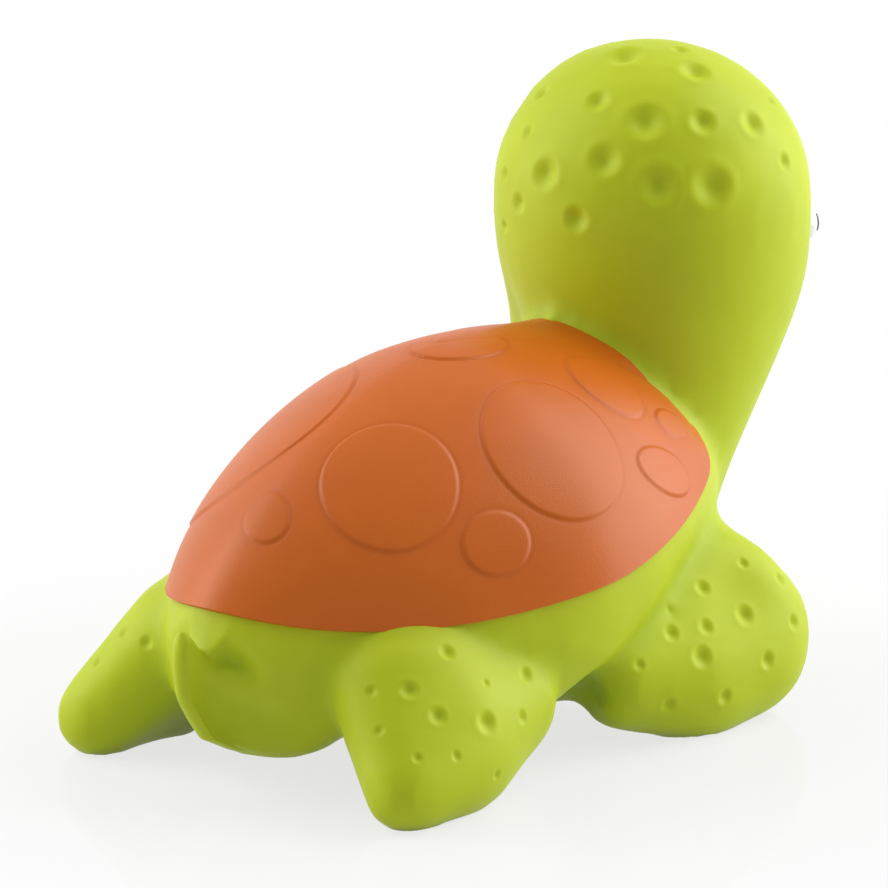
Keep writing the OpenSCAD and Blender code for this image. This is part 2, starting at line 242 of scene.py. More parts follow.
skinSize = {
    "voxel": 1.65,           # first mesh of the moulding
    "roundsRough": 12,
    "roundsFine": 3,
    "creaseSpread": 14,      # how far the fillets between limbs and trunk reach
    "creaseShare": 0.3,
    "creaseClear": (4, 12),  # the fillets fade out this near the shell
    "seatOut": 0.35,         # the shell's seat is filled this far past the shell,
    "seatDown": 1.1,         # and its top lies this much lower
    "soleBlend": (6, 12),    # what lies this low is smoothed,
    "soleRounds": 40,
    "sole": 0.7,             # and what lies this low runs out flat on the floor
    "headDimple": 1.17,      # the head's dimples against their listed size
    "dimpleSplits": (1.8, 1.15),  # the mesh is split this many radii around a dimple
    "dimpleReach": 2,        # nothing further away than this many radii is pressed,
    "dimpleFacing": 0.2,     # nor what looks another way
    "bowlShare": 0.38,       # depth of a dimple as a share of its radius
    "bowlEnd": 1.12,         # its bowl, rim and width of rim, in radii
    "rimAt": 1.25,
    "rimWidth": 0.28,
    "rimShare": 0.03,
    "plugSides": 48,         # closes the hole for the squeaker before the mesh is made
    "plugRadius": 10.5,
    "plugDepth": 6,
    "plugMiddle": 3.05,
    "recessSides": 96,       # opens it again, at its size
    "recessRadius": 9.65,
    "recessTop": 4.75,
    "hollowSpread": 30,      # what the material darkens as hollow, a painted shade
    "hollowFull": 0.6,
    "bendStart": 5,          # two heights in mm
    "bendEnd": 22,
}

# dimples: x, y, z and radius, as seen on the right side; the flippers repeat on the left
headDimples = [
    (-0.6, -30, 86.8, 2.3), (-5, -36.5, 87.4, 1.2), (-10, -33.5, 85.3, 1.9), (8.7, -23.7, 81.6, 1.2),
    (-2.5, -22, 82, 1.5), (-10, -23, 80, 2.3), (-15.2, -28.7, 79.8, 1.6), (-18, -36.3, 79, 1.7),
    (-14.8, -44.3, 80.7, 0.9), (7.7, -19.3, 77, 1.1), (-7, -18, 75.2, 2), (1.7, -16, 72.5, 2),
    (-14, -21, 72, 2.3), (-18.7, -26.6, 71.8, 2.4), (-20.6, -40.2, 73.4, 1.2), (11.2, -18.4, 70.7, 1.1),
    (6.6, -16, 67.7, 1.3), (-4.2, -15.3, 67, 1.6), (10.6, -17.8, 63.6, 0.9),
    (15.5, -27, 79, 2), (17.5, -37, 80, 1.5), (14.5, -44.5, 81, 1.1), (9, -35, 86, 1.8),
    (18.5, -27, 71.5, 2.2), (20.6, -39, 73.5, 1.3), (16.5, -22.5, 66.5, 1.5),
    (2.5, -60, 57.5, 0.7), (-2.5, -60, 57.5, 0.7),  # nostrils
    (17.3, 47.5, 16.8, 0.9),  # and one on the left rear flipper alone
]
flipperDimples = [
    (-22, 47, 17.3, 0.9), (-25.7, 43.8, 17.5, 1.3), (-29.2, 42.2, 14.3, 1.3), (-32, 35.8, 12.6, 1.6),
    (-29, 24.4, 16, 1.2), (-25, 48.8, 13, 0.8), (-30.2, 47.4, 10, 0.8), (-32, 42, 9.4, 0.8),
    (-32.3, 35, 5.6, 0.8), (-25.8, 36.4, 21, 1.2), (-29.5, 33, 16.8, 0.7), (-31.5, 28, 11.5, 1.1),
    (-28.3, -21.6, 21.5, 0.9), (-30.2, -27, 18.6, 1.1), (-28.4, -13.3, 20, 1.2), (-31.5, -18.3, 15.7, 1.5),
    (-32.7, -27.3, 13, 1.2), (-29.4, -5.3, 15.5, 1.2), (-30.8, -11, 15.4, 1.2), (-32, -8.6, 12, 1.6),
    (-33.3, -20.5, 9.3, 1.3), (-33.2, -11.8, 6, 1.2), (-31, -3, 6.3, 1.1), (-29.4, 1.3, 12.5, 0.9),
]


def dimplePlaces(skin):
    places = [(spot(*each[:3]), each[3] * skinSize["headDimple"] * mm) for each in headDimples]
    for x, y, z, radius in flipperDimples:
        places += [(spot(side * x, y, z), radius * mm) for side in (1, -1)]
    found = []
    for place, radius in places:
        hit, where, normal, face = skin.closest_point_on_mesh(place)
        found.append((where.copy(), normal.copy(), radius))
    return found


def pressDimples(skin, dimples):
    largest = max(radius for where, normal, radius in dimples)
    tree = vertTree(skin)
    bowls, rims = {}, {}
    for where, normal, radius in dimples:
        for co, index, gap in tree.find_range(where, skinSize["dimpleReach"] * radius):
            if skin.data.vertices[index].normal.dot(normal) < skinSize["dimpleFacing"]:
                continue
            out = (co - where) - normal * (co - where).dot(normal)
            share = out.length / radius
            bowl = 0.5 + 0.5 * math.cos(math.pi * min(1, share / skinSize["bowlEnd"]))
            rim = bell((share - skinSize["rimAt"]) / skinSize["rimWidth"])
            bowls[index] = max(bowls.get(index, 0), bowl * radius / largest)
            rims[index] = max(rims.get(index, 0), rim * radius / largest)
    pushByWeight(skin, "bowls", bowls, -skinSize["bowlShare"] * largest)
    pushByWeight(skin, "rims", rims, skinSize["rimShare"] * largest)


def fillCreases(skin):
    shell = faceTree(frame["nodes"]["carapace"])
    soft = bpy.data.objects.new("soft", skin.data.copy())
    bpy.context.scene.collection.objects.link(soft)
    useModifier(soft, "SMOOTH", factor=passIn, iterations=skinSize["creaseSpread"])
    for here, there in zip(skin.data.vertices, soft.data.vertices):
        out = (there.co - here.co).dot(here.normal)
        if out > 0:
            clear = fadeIn(shell.find_nearest(here.co)[3], skinSize["creaseClear"])
            here.co += here.normal * out * skinSize["creaseShare"] * clear
    bpy.data.objects.remove(soft)


def seatFill():
    fill = copyNode("carapace", "seatFill")
    middle = spot(*shellSize["middle"])
    top = {vert.index: 1 for vert in fill.data.vertices if vert.normal.dot(vert.co - middle) > 0}
    useModifier(fill, "DISPLACE", strength=skinSize["seatOut"] * mm, mid_level=0)
    pushByWeight(fill, "top", top, -skinSize["seatDown"] * mm)
    return fill


eyeSize = {
    "turn": 36,        # degrees from straight ahead
    "sides": 48,
    "ball": 2.63,
    "sharp": 40,       # edges sharper than this, in degrees, stay sharp
    "seatTop": 0.37,   # the skin round the eye, past the middle of the ball
    "fillSides": 32,   # closes the seat
    "fillRadius": 3,
    "fillDepth": 3,
    "cut": -0.4,       # flat back of the eye
    "pupil": 1.15,     # radius of the pupil
    "pupilOut": 0.15,
    "pupilSkirt": 0.5,
}


def eyePlace(side):
    low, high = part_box(side + "_eye")
    ball = eyeSize["ball"] * mm
    hand = 1 if side == "left" else -1
    turn = math.radians(eyeSize["turn"])
    ahead = Vector((hand * math.sin(turn), -math.cos(turn), 0))
    outer = high.x if hand > 0 else low.x
    return Vector((outer - hand * ball, low.y + ball, (low.z + high.z) / 2)), ahead


# closes the seat of an eye level with the head, so that the eye sits on a plain skin
def eyeFill(side):
    centre, ahead = eyePlace(side)
    fill = addCylinder(eyeSize["fillSides"], eyeSize["fillRadius"], eyeSize["fillDepth"])
    fill.rotation_mode = "QUATERNION"
    fill.rotation_quaternion = ahead.to_track_quat("Z", "Y")
    fill.location = centre + ahead * eyeSize["seatTop"] * mm - ahead * (eyeSize["fillDepth"] / 2) * mm
    bpy.ops.object.transform_apply(location=True, rotation=True, scale=True)
    return fill


tailSize = {
    "ridge": [
        (4, 46.4), (8.4, 55.2), (11.5, 57.6), (14.7, 59.5), (18, 60.7), (20.6, 60.8),
        (22.2, 60.4), (22.9, 59.7), (23.5, 57.5), (24.2, 55.6), (26.2, 55),
    ],                        # z and y up its back
    "split": (50, 26, 12),    # the mesh is split behind this y, below this z and within this x
    "side": 16,               # nothing further out is moved
    "start": (45, 52),        # the flanks hollow out over this stretch of y,
    "end": (25.5, 27),        # and the shaping ends over this stretch of z
    "half": 1.6,              # half thickness just inside the ridge,
    "halfLeast": 0.9,         # and its least share at the ridge
    "flare": 0.25,            # how fast it widens toward the rump,
    "flareGain": 0.05,        # and how much faster further in
    "hollow": 0.35,           # how much thinner it is inside the ridge,
    "hollowAt": 4,            # this far in,
    "hollowSpread": 6,        # over a stretch with this square
    "soft": 0.6,
    "crease": 22.4,           # height of the crease above the tail,
    "creaseFall": 0.85,       # which falls as it leaves the middle
    "creaseSoft": (-0.5, 2.5),
    "upperFrom": (55, 56.5),  # the upper end of the ridge is thin too, from this y,
    "upperEnd": (22.4, 24),   # and up to this z
    "smoothFrom": (45, 50),
    "smoothEnd": (25, 27),
    "smoothSide": 14,
    "smoothRounds": (14, 5),  # before and after the fold
    "fold": [(2, 55.1, 20.4), (4, 54.5, 19.4), (5.8, 53.8, 18.5), (7.2, 52.6, 17.6), (9, 51, 16.2)],
    "foldReach": 2,           # the fold between tail and rump, listed for the left side
    "foldDepth": 2.3,
    "foldStart": (1.6, 4),    # it starts beside the ridge,
    "foldEnd": (4.6, 9),      # and runs out further along
    "foldFade": 0.9,
    "hook": (50, 17),         # the hook lies behind this y and above this z
    "topHeight": 22.9,
    "topSoft": 0.3,
    "topFrom": (55.4, 56.4),
    "top": (0, 55.5, 22),     # where the top of the tail dips towards the rump
    "topReach": 4.4,
    "topFull": 0.4,
    "topRounds": 40,
    "dip": 2.2,
    "dipReach": 1.6,
    "dipHeight": (17, 23),
    "dipSide": (1.4, 3.8),
    "tipAt": 59.2,
    "tipRise": 1,
    "tipHeight": (18, 22.5),
    "foot": (0, 48, 5.5),     # where the ridge runs out under the belly
    "footReach": 7,
    "footFull": 0.3,
    "footRounds": 40,
}


def lineGap(here, points):
    gaps = []
    for start, end in zip(points, points[1:]):
        share = min(1, max(0, (here - start).dot(end - start) / (end - start).length_squared))
        gaps.append((here - start.lerp(end, share)).length)
    return min(gaps)


def ridgeAt(height):
    ridge = tailSize["ridge"]
    for (low, start), (high, end) in zip(ridge, ridge[1:]):
        if height <= high * mm:
            return (start + (end - start) * max(0, height / mm - low) / (high - low)) * mm
    return ridge[-1][1] * mm


# draws the end of the tail out to an upright ridge with hollow flanks, like the bow of a boat
def drawRidge(skin):
    half, soft = tailSize["half"] * mm, tailSize["soft"] * mm
    near, high, side = tailSize["start"][0] * mm, tailSize["end"][1] * mm, tailSize["side"] * mm
    behind, below, within = (value * mm for value in tailSize["split"])
    splitFaces(skin, lambda face: (
        face.center.y > behind and face.center.z < below and abs(face.center.x) < within))
    for vert in skin.data.vertices:
        across = abs(vert.co.x)
        if vert.co.y < near or vert.co.z > high or across > side:
            continue
        ridge = ridgeAt(vert.co.z)
        begin = fadeIn(vert.co.y, tailSize["start"]) * fadeOut(vert.co.z, tailSize["end"])
        vert.co.y -= begin * max(0, vert.co.y - ridge)
        depth = ridge - vert.co.y
        inner = min(1, max(0, depth / half))
        past = max(0, depth - half)
        inside = (depth / mm - tailSize["hollowAt"]) ** 2 / tailSize["hollowSpread"]
        wide = half * max(tailSize["halfLeast"], math.sqrt(1 - (1 - inner) ** 2))
        wide += tailSize["flare"] * past + tailSize["flareGain"] * past * past / mm
        wide -= tailSize["hollow"] * mm * math.exp(-inside)
        crease = tailSize["crease"] * mm - tailSize["creaseFall"] * across
        upper = fadeIn(vert.co.y, tailSize["upperFrom"]) * fadeOut(vert.co.z, tailSize["upperEnd"])
        weight = begin * max(fadeIn(crease - vert.co.z, tailSize["creaseSoft"]), upper)
        over = softOver(across - wide, soft)
        if over > 0:
            vert.co.x -= math.copysign(min(over * weight, across), vert.co.x)
        bend = 1 - math.sqrt(1 - min(1, abs(vert.co.x) / half) ** 2)
        vert.co.y -= begin * half * bend * (1 - inner)


def onTail(co):
    inside = abs(co.x) < tailSize["smoothSide"] * mm
    return fadeIn(co.y, tailSize["smoothFrom"]) * fadeOut(co.z, tailSize["smoothEnd"]) * inside


def foldTail(skin):
    groove = {}
    for side in (1, -1):
        fold = [spot(side * x, y, z) for x, y, z in tailSize["fold"]]
        for vert in skin.data.vertices:
            if vert.co.y > tailSize["start"][0] * mm and side * vert.co.x >= 0:
                gap = lineGap(vert.co, fold) / (tailSize["foldReach"] * mm)
                if gap < bellEnd:
                    across = abs(vert.co.x)
                    end = 1 - tailSize["foldFade"] * fadeIn(across, tailSize["foldEnd"])
                    groove[vert.index] = bell(gap) * fadeIn(across, tailSize["foldStart"]) * end
    pushByWeight(skin, "fold", groove, -tailSize["foldDepth"] * mm)


# levels the top of the tail, dips it towards the rump and raises its tip
def hookTail(skin):
    behind, above = (value * mm for value in tailSize["hook"])
    top, reach = spot(*tailSize["top"]), tailSize["dipReach"] * mm
    for vert in skin.data.vertices:
        if vert.co.y > behind and vert.co.z > above:
            over = softOver(vert.co.z - tailSize["topHeight"] * mm, tailSize["topSoft"] * mm)
            vert.co.z -= max(0, over) * fadeIn(vert.co.y, tailSize["topFrom"])
            off = (vert.co.y - top.y) / reach
            dip = tailSize["dip"] * mm * bell(off) * fadeIn(vert.co.z, tailSize["dipHeight"])
            vert.co.z -= dip * fadeOut(abs(vert.co.x), tailSize["dipSide"])
            off = (vert.co.y - tailSize["tipAt"] * mm) / reach
            vert.co.z += tailSize["tipRise"] * mm * bell(off) * fadeIn(vert.co.z, tailSize["tipHeight"])


def shapeTail(skin):
    before, after = tailSize["smoothRounds"]
    drawRidge(skin)
    smoothWhere(skin, onTail, before)
    foldTail(skin)
    smoothWhere(skin, onTail, after)
    hookTail(skin)
    for name, keepSize in (("top", False), ("foot", True)):
        reach, full, rounds = (tailSize[name + word] for word in ("Reach", "Full", "Rounds"))
        smoothAround(skin, tailSize[name], reach, full, rounds, keepSize)


# touches on the moulding: x, y, z, reach and how far the skin moves out
neckTouch = (12, -20.5, 49, 6, -1.8)  # on the left, beside the lip of the shell
oneSide = [
    neckTouch,
    (21, 50, 3, 6, 1.3),          # back of the left rear flipper, low
    (-32, 36, 3, 7, 1),           # outside of the right rear flipper, low
]
skinTouches = [
    (9, -30, 84, 9, 0.5),         # crown
    (31.5, -24.5, 5, 7, 1.4),     # front of a front flipper, low
    (31, -14, 1.5, 6, 0.9),       # its outer edge on the floor
    (28, -25.5, 21, 5, 1.2),      # and high
    (26, 7.2, 8.5, 3.6, -2.8),    # pocket between belly and front flipper
    (22.3, 5.2, 6, 3.4, -2.8),
]
flipperCrease = [(24.5, -20.5, 26), (28, -8, 21.5), (28.8, -1, 17.5), (28.6, 4, 14.5), (27, 8, 10.5)]
touchSize = {
    "most": 3.5,         # the furthest that touches together move the skin
    "spread": 2.2,       # a touch has faded away past this many reaches
    "creaseSide": 20,    # the crease of a front flipper lies further out than this,
    "creaseEnd": 14,     # and ahead of this
    "creaseReach": 2.2,
    "creaseDepth": 0.5,
}


def touchSkin(skin):
    most = touchSize["most"]
    outward, inward = {}, {}
    tree = vertTree(skin)
    mirrored = [(-each[0], *each[1:]) for each in skinTouches]
    for x, y, z, reach, push in skinTouches + mirrored + oneSide:
        for co, index, gap in tree.find_range(spot(x, y, z), touchSize["spread"] * reach * mm):
            moved = outward if push > 0 else inward
            weight = bell(gap / (reach * mm)) * abs(push) / most
            moved[index] = moved.get(index, 0) + weight
    for side in (1, -1):
        line = [spot(side * x, y, z) for x, y, z in flipperCrease]
        for vert in skin.data.vertices:
            if side * vert.co.x > touchSize["creaseSide"] * mm and vert.co.y < touchSize["creaseEnd"] * mm:
                gap = lineGap(vert.co, line) / (touchSize["creaseReach"] * mm)
                if gap < bellEnd:
                    weight = touchSize["creaseDepth"] / most * bell(gap)
                    inward[vert.index] = inward.get(vert.index, 0) + weight
    pushByWeight(skin, "outward", outward, most * mm)
    pushByWeight(skin, "inward", inward, -most * mm)


def smoothSoles(skin):
    smoothWhere(skin, lambda co: fadeOut(co.z, skinSize["soleBlend"]), skinSize["soleRounds"], keepSize=True)


def flattenSoles(skin):
    sole = skinSize["sole"] * mm
    for vert in skin.data.vertices:
        share = vert.co.z / sole
        if share < 1:
            vert.co.z = max(0, share) ** 2 * (2 - share) * sole


mouthSize = {
    "height": 49.5,
    "half": 13.5,        # half its width
    "rise": 3.2,         # its corners above its middle
    "line": 0.6,         # width of the groove,
    "lineEnd": 3,        # which has faded away past this many widths
    "depth": 0.75,
    "endStretch": 3,     # it gets shallower over this stretch at its corners,
    "endShare": 0.25,    # down to this share
    "splits": (2, 1.3),  # the mesh is split this far around it
    "face": (-40, 40),   # it lies ahead of this y and above this z,
    "facing": -0.1,      # where the skin looks ahead
}


def mouthGap(co):
    across = abs(co.x) / mm
    height = mouthSize["height"] + mouthSize["rise"] * (across / mouthSize["half"]) ** 2
    slope = 2 * mouthSize["rise"] * across / mouthSize["half"] ** 2
    return abs(co.z / mm - height) / math.hypot(1, slope) + max(0, across - mouthSize["half"])


def onFace(normal, co):
    ahead, above = (value * mm for value in mouthSize["face"])
    return normal.y < mouthSize["facing"] and co.y < ahead and co.z > above


def pressMouth(skin):
    groove = {}
    corner = (mouthSize["half"] - mouthSize["endStretch"], mouthSize["half"])
    least = mouthSize["endShare"]
    for vert in skin.data.vertices:
        if onFace(vert.normal, vert.co):
            gap = mouthGap(vert.co) / mouthSize["line"]
            if gap < mouthSize["lineEnd"]:
                groove[vert.index] = bell(gap) * (least + (1 - least) * fadeOut(abs(vert.co.x), corner))
    pushByWeight(skin, "mouth", groove, -mouthSize["depth"] * mm)


hollowRounds = 4


# 0 on open surface and 1 in the bottom of a hollow, where the materials paint shade
def markHollows(obj, spread, full):
    soft = bpy.data.objects.new("soft", obj.data.copy())
    bpy.context.scene.collection.objects.link(soft)
    useModifier(soft, "SMOOTH", factor=passIn, iterations=spread)
    values = [min(1, max(0, (there.co - here.co).dot(here.normal) / (full * mm)))
              for here, there in zip(obj.data.vertices, soft.data.vertices)]
    bpy.data.objects.remove(soft)
    for turn in range(hollowRounds):
        total, count = values[:], [1] * len(values)
        for edge in obj.data.edges:
            a, b = edge.vertices
            total[a] += values[b]
            total[b] += values[a]
            count[a] += 1
            count[b] += 1
        values = [each / many for each, many in zip(total, count)]
    obj.data.attributes.new("hollow", "FLOAT", "POINT").data.foreach_set("value", values)


def makeSkin():
    skin = copyNode("back_skin", "skin")
    caseLow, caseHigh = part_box("squeaker_case")
    caseX, caseY = (caseLow.x + caseHigh.x) / 2, (caseLow.y + caseHigh.y) / 2
    plug = addCylinder(
        skinSize["plugSides"], skinSize["plugRadius"], skinSize["plugDepth"],
        (caseX, caseY, caseLow.z + skinSize["plugMiddle"] * mm))
    parts = [copyNode("belly_skin", "belly"), seatFill(), eyeFill("left"), eyeFill("right"), plug]
    pick(skin, *parts)
    bpy.ops.object.join()
    useModifier(skin, "REMESH", mode="VOXEL", voxel_size=skinSize["voxel"] * mm)
    keepOutside(skin)
    relax(skin, skinSize["roundsRough"])
    fillCreases(skin)
    useModifier(skin, "SUBSURF", levels=1, render_levels=1)
    shapeTail(skin)
    touchSkin(skin)
    smoothSoles(skin)
    relax(skin, skinSize["roundsFine"])
    dimples = dimplePlaces(skin)
    for reach in skinSize["dimpleSplits"]:
        refine(skin, [(where, radius * reach) for where, normal, radius in dimples])
    for reach in mouthSize["splits"]:
        splitFaces(skin, lambda face: onFace(face.normal, face.center) and mouthGap(face.center) < reach)
    pressDimples(skin, dimples)
    pressMouth(skin)
    flattenSoles(skin)
    cutter = addCylinder(
        skinSize["recessSides"], skinSize["recessRadius"], skinSize["recessTop"],
        (caseX, caseY, skinSize["recessTop"] * mm / 2))
    useModifier(skin, "BOOLEAN", operation="DIFFERENCE", object=cutter, solver="EXACT")
    bpy.data.objects.remove(cutter)
    markHollows(skin, skinSize["hollowSpread"], skinSize["hollowFull"])
    shadeSmooth(skin)
    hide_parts("back_skin", "belly_skin")
    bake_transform(skin)
    print("skin", countTriangles(skin), "triangles")
    return skin


shellSize = {
    "middle": (0, 9, 20),      # a place under the dome
    "outer": 0.1,              # what looks out from it more than this is outer skin,
    "outerByNeck": 0.65,       # and more than this where it faces the neck
    "neckAt": -33,             # y of the middle of the neck
    "neckBack": -10,           # the edge along the neck lies ahead of this y,
    "neckLow": 36,             # and above this z
    "neckFacing": 0.45,
    "neckPush": (0.6, 0.8, 0),  # way in which the edge follows the neck
    "quadAngle": 140,          # triangles that make a square up to this bend are joined
    "wall": 1.8,
    "rimRound": 0.4,
    "rimAngle": 50,
    "swell": 0.1,              # gives back what the rounding takes off
    "discRise": 0.21,          # how far a disc stands up
    "discReach": 1.4,          # nothing further away than this many half lengths is moved,
    "discFacing": 0.3,         # nor what looks another way
    "edge": 0.36,              # width of the step round a disc
    "edgeSplits": (3, 1.8),    # the mesh is split this many widths outside the outline,
    "edgeInside": 1.3,         # and this many times as far inside it
    "groove": 0.05,            # depth of the line round it,
    "grooveAt": 0.3,           # with its place and width in widths of the step
    "grooveWidth": 0.6,
    "pillow": 0.05,            # how far its middle swells
    "lipRise": 0.3,            # lip against the neck
    "lipReach": 1.8,
    "lipHeight": (37, 46),     # it grows over these heights
    "lipIn": 1,                # how far it runs into the neck,
    "lipInHeight": (34, 38),   # growing over these heights
    "edgeRounds": 4,
    "evenReach": 4,            # the mesh is evened out this far in from its edge,
    "evenFull": 0.4,           # fully up to this share
    "hollowSpread": 10,        # what the material darkens as hollow, a painted shade
    "hollowFull": 0.2,
}

# discs: x, y, z, half length, half width and the slope of the length from the line of the back
shellDiscs = [
    (-12, 32, 40, 10.1, 9.1, 42), (-20.7, 9.5, 42, 11.4, 10.5, 57), (-24.3, 25, 33, 5, 4.4, 4),
    (-1.7, 44.4, 36.4, 4.3, 3.2, 47), (-25.3, -8.7, 36.5, 6.3, 3.6, -17), (-20, -16.8, 40.8, 3.9, 2.5, -5),
    (-15.6, -8, 46.9, 6.2, 5.5, -61), (-1.9, 6.4, 52.9, 7.1, 5.1, -22), (15.6, 26.3, 41.5, 15.6, 15.2, 0),
    (24, -6, 38.5, 6.2, 5.6, 20), (17.5, -15, 44, 4.4, 3.8, 0), (28.5, 8, 29.5, 3, 2.6, 0),
]


def discPlaces(shell):
    found = []
    for x, y, z, long, wide, slope in shellDiscs:
        hit, where, normal, face = shell.closest_point_on_mesh(spot(x, y, z))
        back = Vector((0, 1, 0))
        back = (back - normal * back.dot(normal)).normalized()
        turn = math.radians(slope)
        along = back * math.cos(turn) + normal.cross(back) * math.sin(turn)
        found.append((where.copy(), normal.copy(), along, long * mm, wide * mm))
    return found


# how far a place lies past the outline of a disc, and as a share of the way out to it
def discPast(co, disc):
    where, normal, along, long, wide = disc
    out = co - where
    share = math.hypot(out.dot(along) / long, out.dot(normal.cross(along)) / wide)
    return (share - 1) * (long + wide) / 2, share


def splitDiscEdges(shell, discs, band):
    step = shellSize["edge"] * mm
    wanted = set()
    for disc in discs:
        where, normal, along, long, wide = disc
        for face in shell.data.polygons:
            near = (face.center - where).length < shellSize["discReach"] * long
            if near and face.normal.dot(normal) > shellSize["discFacing"]:
                if -shellSize["edgeInside"] * band * step < discPast(face.center, disc)[0] < band * step:
                    wanted.add(face.index)
    splitFaces(shell, lambda face: face.index in wanted)


def raiseDiscs(shell, discs):
    tree = vertTree(shell)
    step = shellSize["edge"] * mm
    plateau, groove, pillow = {}, {}, {}
    for disc in discs:
        where, normal, along, long, wide = disc
        for co, index, gap in tree.find_range(where, shellSize["discReach"] * long):
            if shell.data.vertices[index].normal.dot(normal) < shellSize["discFacing"]:
                continue
            past, share = discPast(co, disc)
            plateau[index] = max(plateau.get(index, 0), 1 - ease(past, -step, 0))
            line = bell((past - shellSize["grooveAt"] * step) / (shellSize["grooveWidth"] * step))
            groove[index] = max(groove.get(index, 0), line)
            pillow[index] = max(pillow.get(index, 0), 1 - share * share)
    pushByWeight(shell, "plateau", plateau, shellSize["discRise"] * mm)
    pushByWeight(shell, "groove", groove, -shellSize["groove"] * mm)
    pushByWeight(shell, "pillow", pillow, shellSize["pillow"] * mm)


def openEdges(obj):
    uses = {}
    for face in obj.data.polygons:
        for key in face.edge_keys:
            uses[key] = uses.get(key, 0) + 1
    return [key for key, count in uses.items() if count == 1]


# runs the open edge of the shell in one smooth line, and the mesh beside it follows
def smoothEdge(shell):
    beside = {}
    for a, b in openEdges(shell):
        beside.setdefault(a, []).append(b)
        beside.setdefault(b, []).append(a)
    verts = shell.data.vertices
    edge = kdtree.KDTree(len(beside))
    for index in beside:
        edge.insert(verts[index].co, index)
    edge.balance()
    reach = shellSize["evenReach"] * mm
    gaps = {vert.index: edge.find(vert.co)[2] for vert in verts if vert.index not in beside}
    for turn in range(shellSize["edgeRounds"]):
        for share in (passIn, passOut):
            moved = {}
            for index, (a, b) in beside.items():
                here, along = verts[index].co, (verts[b].co - verts[a].co).normalized()
                step = (verts[a].co + verts[b].co) / 2 - here
                moved[index] = here + (step - along * step.dot(along)) * share
            for index, co in moved.items():
                verts[index].co = co
        group = shell.vertex_groups.new(name="even")
        for index, gap in gaps.items():
            if gap < reach:
                group.add([index], 1 - ease(gap, shellSize["evenFull"] * reach, reach), "REPLACE")
        useModifier(shell, "SMOOTH", factor=passIn, iterations=1, vertex_group="even")
        shell.vertex_groups.clear()


def towardNeck(co):
    way = spot(0, shellSize["neckAt"], 0) - co
    way.z = 0
    return way.normalized()


# runs the edge into the neck, follows the neck where touchSkin draws it in, and turns the edge up
def raiseLip(shell):
    x, y, z, reach, push = neckTouch
    neck = kdtree.KDTree(len(shell.data.vertices))
    for index in {each for key in openEdges(shell) for each in key}:
        co = shell.data.vertices[index].co
        if co.y < shellSize["neckBack"] * mm and co.z > shellSize["neckLow"] * mm:
            neck.insert(co, index)
    neck.balance()
    rises = {}
    for vert in shell.data.vertices:
        gap = neck.find(vert.co)[2] / (shellSize["lipReach"] * mm)
        if gap < bellEnd:
            rises[vert.index] = bell(gap) * fadeIn(vert.co.z, shellSize["lipHeight"])
            grown = fadeIn(vert.co.z, shellSize["lipInHeight"])
            vert.co += towardNeck(vert.co) * shellSize["lipIn"] * mm * bell(gap) * grown
    for vert in shell.data.vertices:
        gap = (vert.co - spot(x, y, z)).length / (reach * mm)
        vert.co += Vector(shellSize["neckPush"]) * push * mm * bell(gap)
    pushByWeight(shell, "lip", rises, shellSize["lipRise"] * mm, "Z")


# the inner layer and the edge all round, also where the edge faces the neck
def notOuter(face, middle):
    out = face.normal.dot((face.center - middle).normalized())
    ahead = face.center.y < shellSize["neckBack"] * mm
    byNeck = ahead and face.normal.dot(towardNeck(face.center)) > shellSize["neckFacing"]
    return out < shellSize["outerByNeck" if byNeck else "outer"]


def makeShell():
    shell = copyNode("carapace", "shell")
    middle = spot(*shellSize["middle"])
    chooseFaces(shell, lambda face: notOuter(face, middle))
    bpy.ops.mesh.delete(type="FACE")
    bpy.ops.mesh.select_all(action="SELECT")
    bend = math.radians(shellSize["quadAngle"])
    bpy.ops.mesh.tris_convert_to_quads(face_threshold=bend, shape_threshold=bend)
    bpy.ops.object.mode_set(mode="OBJECT")
    useModifier(shell, "SUBSURF", levels=1, render_levels=1)
    useModifier(shell, "DISPLACE", strength=shellSize["swell"] * mm, mid_level=0)
    smoothEdge(shell)
    raiseLip(shell)
    discs = discPlaces(shell)
    useModifier(shell, "SOLIDIFY", thickness=shellSize["wall"] * mm, offset=-1)
    useModifier(
        shell, "BEVEL", width=shellSize["rimRound"] * mm, segments=2,
        limit_method="ANGLE", angle_limit=math.radians(shellSize["rimAngle"]))
    useModifier(shell, "SUBSURF", levels=1, render_levels=1)
    for band in shellSize["edgeSplits"]:
        splitDiscEdges(shell, discs, band)
    raiseDiscs(shell, discs)
    markHollows(shell, shellSize["hollowSpread"], shellSize["hollowFull"])
    shadeSmooth(shell)
    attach(shell, "back")
    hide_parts("carapace")
    print("shell", countTriangles(shell), "triangles")
    return shell


def bisectBall(name, side, ball, cut):
    centre, ahead = eyePlace(side)
    bpy.ops.object.select_all(action="DESELECT")
    bpy.ops.mesh.primitive_uv_sphere_add(
        segments=eyeSize["sides"], ring_count=eyeSize["sides"], radius=ball * mm, location=centre)
    cap = bpy.context.object
    cap.name = name
    cap.rotation_mode = "QUATERNION"
    cap.rotation_quaternion = ahead.to_track_quat("Z", "Y")
    bpy.ops.object.transform_apply(location=True, rotation=True, scale=True)
    bpy.ops.object.mode_set(mode="EDIT")
    bpy.ops.mesh.select_all(action="SELECT")
    bpy.ops.mesh.bisect(plane_co=centre + ahead * cut * mm, plane_no=ahead, clear_inner=True, use_fill=True)
    return cap, ahead


def finishCap(cap, node):
    bpy.ops.object.mode_set(mode="OBJECT")
    pick(cap)
    bpy.ops.object.shade_smooth_by_angle(angle=math.radians(eyeSize["sharp"]))
    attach(cap, "back")
    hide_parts(node)
    return cap


def makeEye(side):
    eye, ahead = bisectBall(side + "Eye", side, eyeSize["ball"], eyeSize["cut"])
    return finishCap(eye, side + "_eye")


